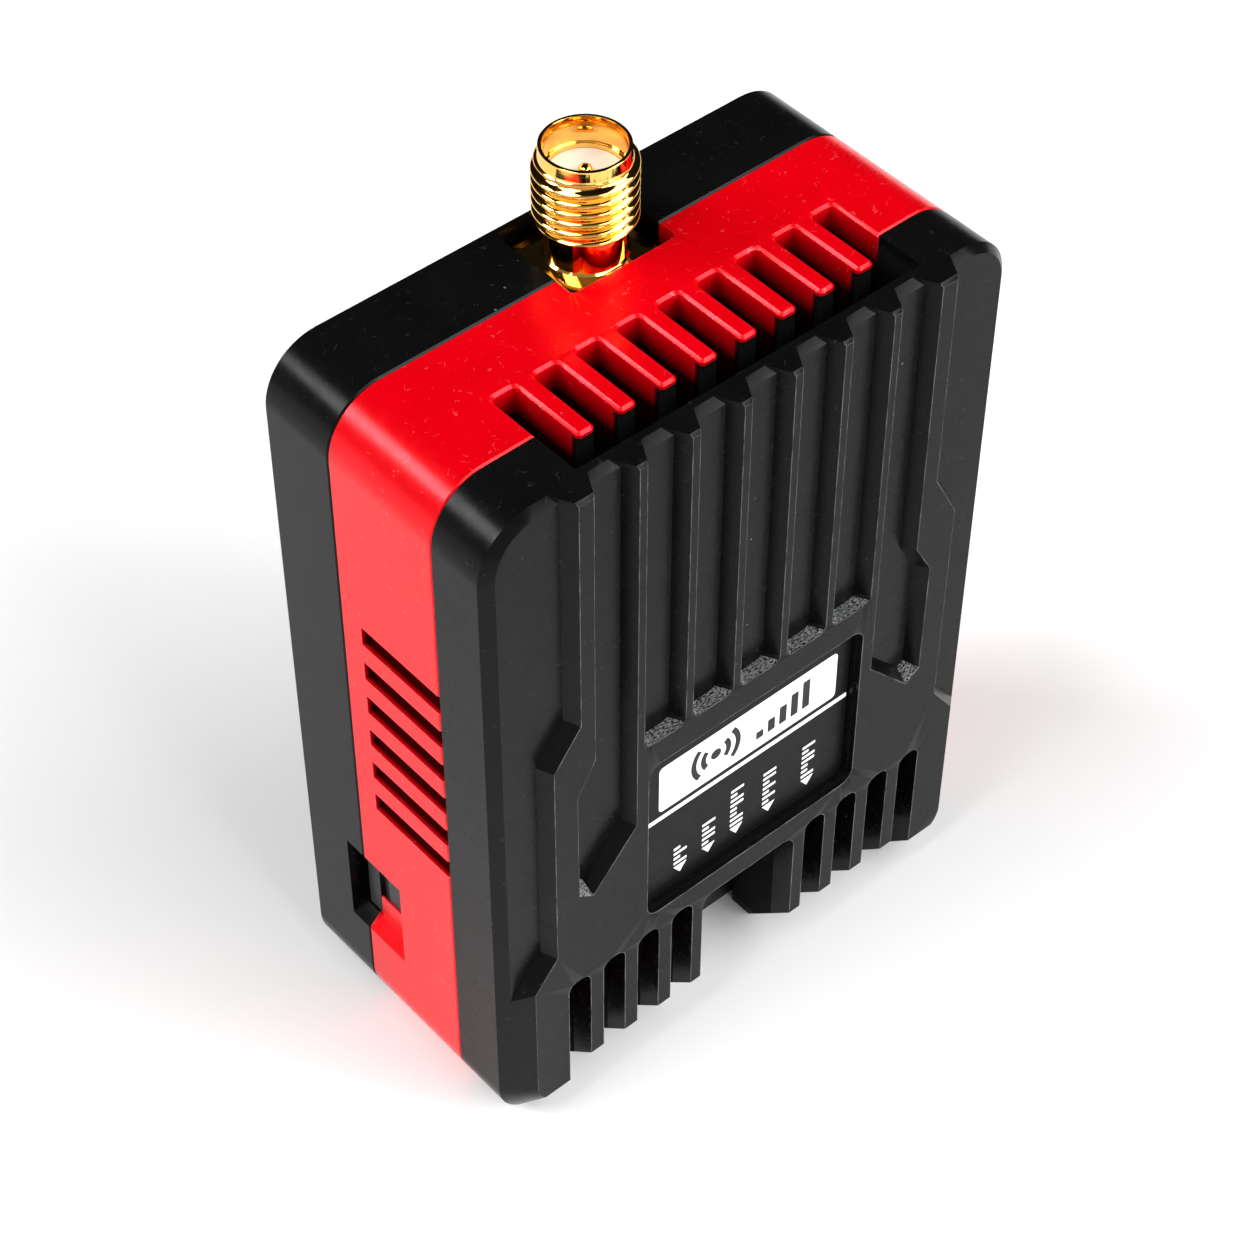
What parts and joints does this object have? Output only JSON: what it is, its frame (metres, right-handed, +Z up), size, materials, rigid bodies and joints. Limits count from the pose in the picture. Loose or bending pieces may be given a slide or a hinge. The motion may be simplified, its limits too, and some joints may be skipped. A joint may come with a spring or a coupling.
{
  "type": "fpv video transmitter",
  "caption": "Small upright video transmitter in a finned black and red aluminium case, with a threaded antenna jack on top and a wire connector below.",
  "frame": {"origin": "middle of the case's bottom face, which it stands on", "axes": "+Z up along the antenna jack, -Y out of the finned front heat sink, +X to the right of the front face"},
  "size_m": [0.04, 0.0206, 0.0608],
  "materials": {
    "black_anodised": "bead blasted and black anodised",
    "red_anodised": "bead blasted and red anodised",
    "label_print": "matte printed film",
    "black_steel": "black oxide",
    "gold": "gold plated",
    "ptfe": "turned",
    "circuit_board": "solder mask",
    "tin": "tin plated",
    "ic_black": "moulded epoxy",
    "tantalum": "moulded epoxy",
    "ceramic": "fired ceramic",
    "thermal_pad": "soft filled silicone",
    "black_plastic": "moulded",
    "foam": "closed cell foam",
    "bronze": "sintered",
    "steel": "ground",
    "ferrite": "bonded ferrite"
  },
  "bodies": {
    "case": {"front_heatsink": "black_anodised", "back_cover": "black_anodised", "mid_frame": "red_anodised", "label": "label_print", "case_screws": "black_steel", "board_screws": "black_steel", "antenna_jack_body": "gold", "antenna_jack_pin": "gold", "antenna_jack_dielectric": "ptfe", "main_board": "circuit_board", "connector_board": "circuit_board", "rf_shield_can": "tin", "crystal": "tin", "connector_pins": "tin", "power_amplifier": "ic_black", "microcontroller": "ic_black", "video_processor": "ic_black", "buck_converter": "ic_black", "power_inductors": "ic_black", "board_header": "ic_black", "tantalum_capacitors": "tantalum", "chip_capacitors": "ceramic", "amplifier_thermal_pad": "thermal_pad", "wire_connector": "black_plastic", "fan_frame": "black_plastic", "side_switch_body": "black_plastic", "fan_gasket": "foam", "fan_bearing": "bronze", "fan_stator": "steel"},
    "fan_wheel": {"fan_rotor": "black_plastic", "fan_shaft": "steel", "fan_magnet": "ferrite"},
    "button": {"side_button": "black_plastic"}
  },
  "joints": [
    {"name": "fan_spin", "type": "hinge", "parent": "case", "child": "fan_wheel", "pos_m": [0, 0, 0.0295], "axis": [0, 1, 0], "continuous": true},
    {"name": "button_press", "type": "slide", "parent": "case", "child": "button", "axis": [1, 0, 0], "range_m": [0, 0.00025], "stiffness_N_per_m": 400, "springref_m": -0.0002}
  ]
}
